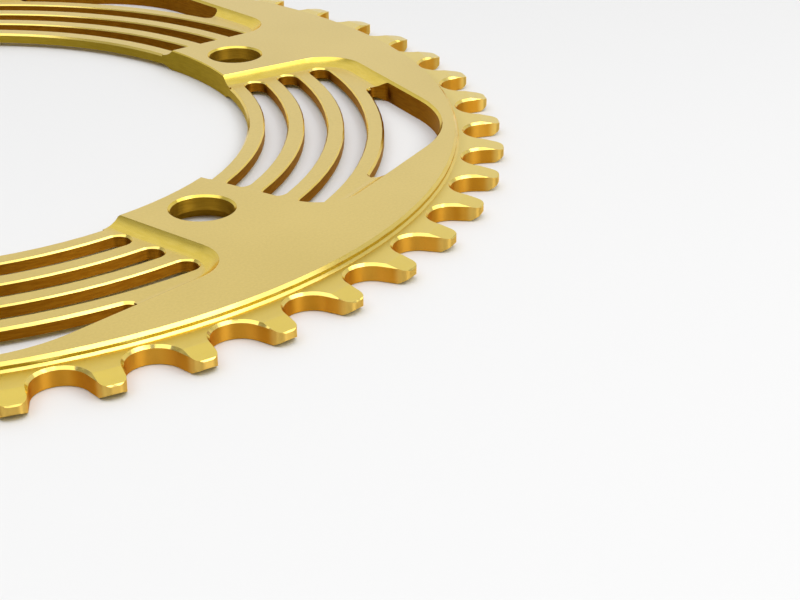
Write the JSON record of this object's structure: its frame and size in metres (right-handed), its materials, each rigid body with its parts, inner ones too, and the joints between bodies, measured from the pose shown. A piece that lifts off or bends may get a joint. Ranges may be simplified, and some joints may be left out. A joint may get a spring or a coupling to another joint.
{
  "type": "bicycle chainring",
  "caption": "Flat toothed ring of gold anodised aluminium that bolts to a crank spider and drives a bicycle chain, with slotted pockets between its bolt tabs.",
  "frame": {"origin": "centre of the bolt circle, on the front face that seats on the crank spider", "axes": "+Z out of the front face along the ring's axis, +X through one bolt hole and one tooth gap"},
  "size_m": [0.2036, 0.2038, 0.0042],
  "materials": {
    "gold_anodised": "satin gold anodising over a blasted front face and turned, polished edges"
  },
  "bodies": {
    "root": {"chainring": "gold_anodised"}
  },
  "joints": []
}
